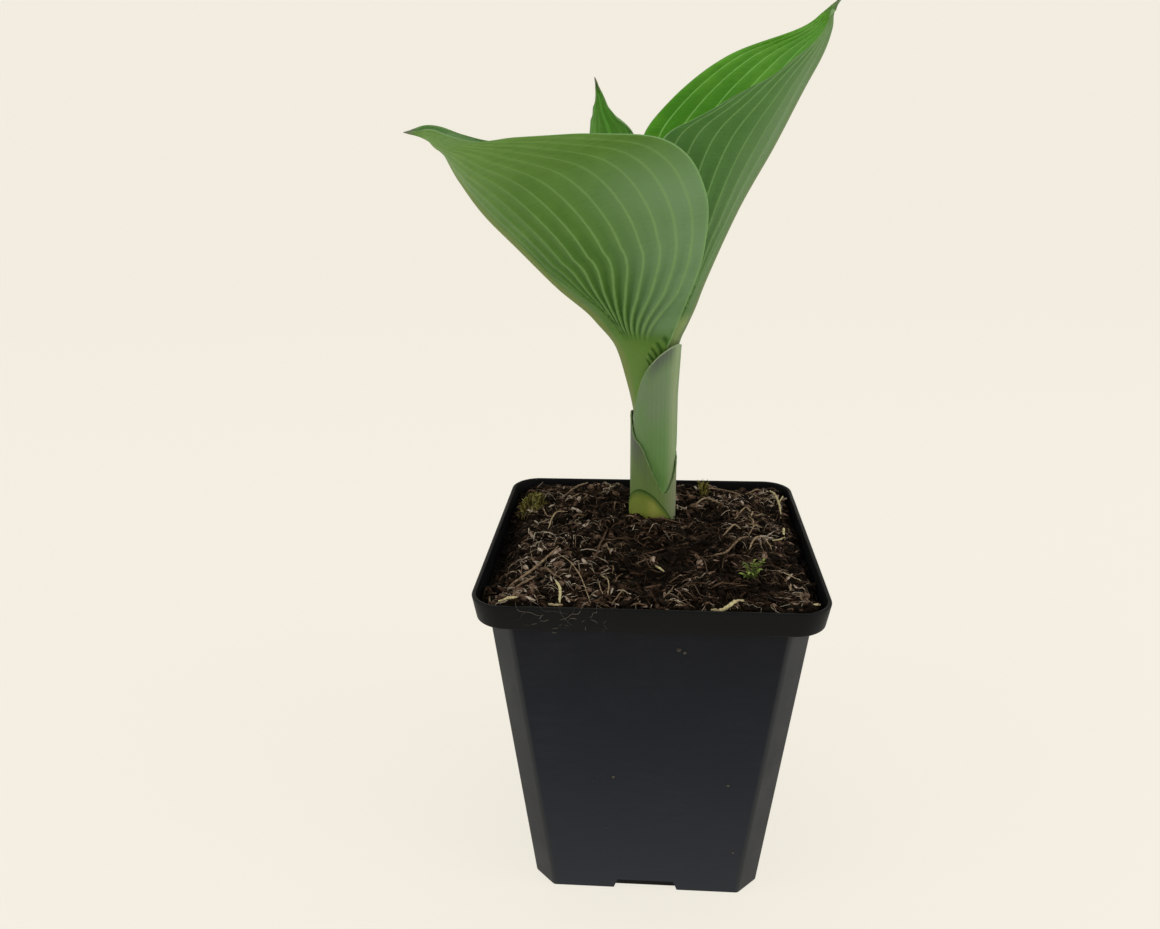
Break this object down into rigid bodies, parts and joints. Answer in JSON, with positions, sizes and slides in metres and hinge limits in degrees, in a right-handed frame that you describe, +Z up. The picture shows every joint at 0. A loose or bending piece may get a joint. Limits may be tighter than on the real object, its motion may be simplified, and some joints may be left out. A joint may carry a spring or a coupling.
{
  "type": "potted hosta plant",
  "caption": "Young broad-leaved shade plant with rolled, ribbed leaves on one sheathed shoot, standing in soil in a square tapered nursery pot.",
  "frame": {"origin": "under the middle of the pot, on the surface that it stands on, at the foot of the hub under its floor", "axes": "+Z up along the shoot, -Y to the pot's front, +X to the right"},
  "size_m": [0.1202, 0.09, 0.2408],
  "materials": {
    "pot_plastic": "dark charcoal moulded plastic, satin, with scuffed paler corners",
    "potting_soil": "moist dark peat with bark crumbs, straw and root fibres",
    "root": "pale waxy root",
    "leaf_blade": "mid-green waxy leaf with sunken parallel veins and a grey bloom on the underside",
    "young_leaf": "bright green young leaf, satin",
    "sheath": "grey-green waxy scale with a purple-grey tip and fine lengthwise lines",
    "base_scale": "yellow-green scale with a darker rim",
    "weed": "small matt green leaves",
    "moss": "yellow-green moss"
  },
  "bodies": {
    "root": {"pot": "pot_plastic", "soil": "potting_soil", "crown": "root", "leaf_left": "leaf_blade", "leaf_right": "leaf_blade", "leaf_inner": "young_leaf", "sheath_upper": "sheath", "sheath_lower": "sheath", "sheath_base": "base_scale", "weed_sprig": "weed", "moss_left": "moss", "moss_back": "moss"}
  },
  "joints": []
}
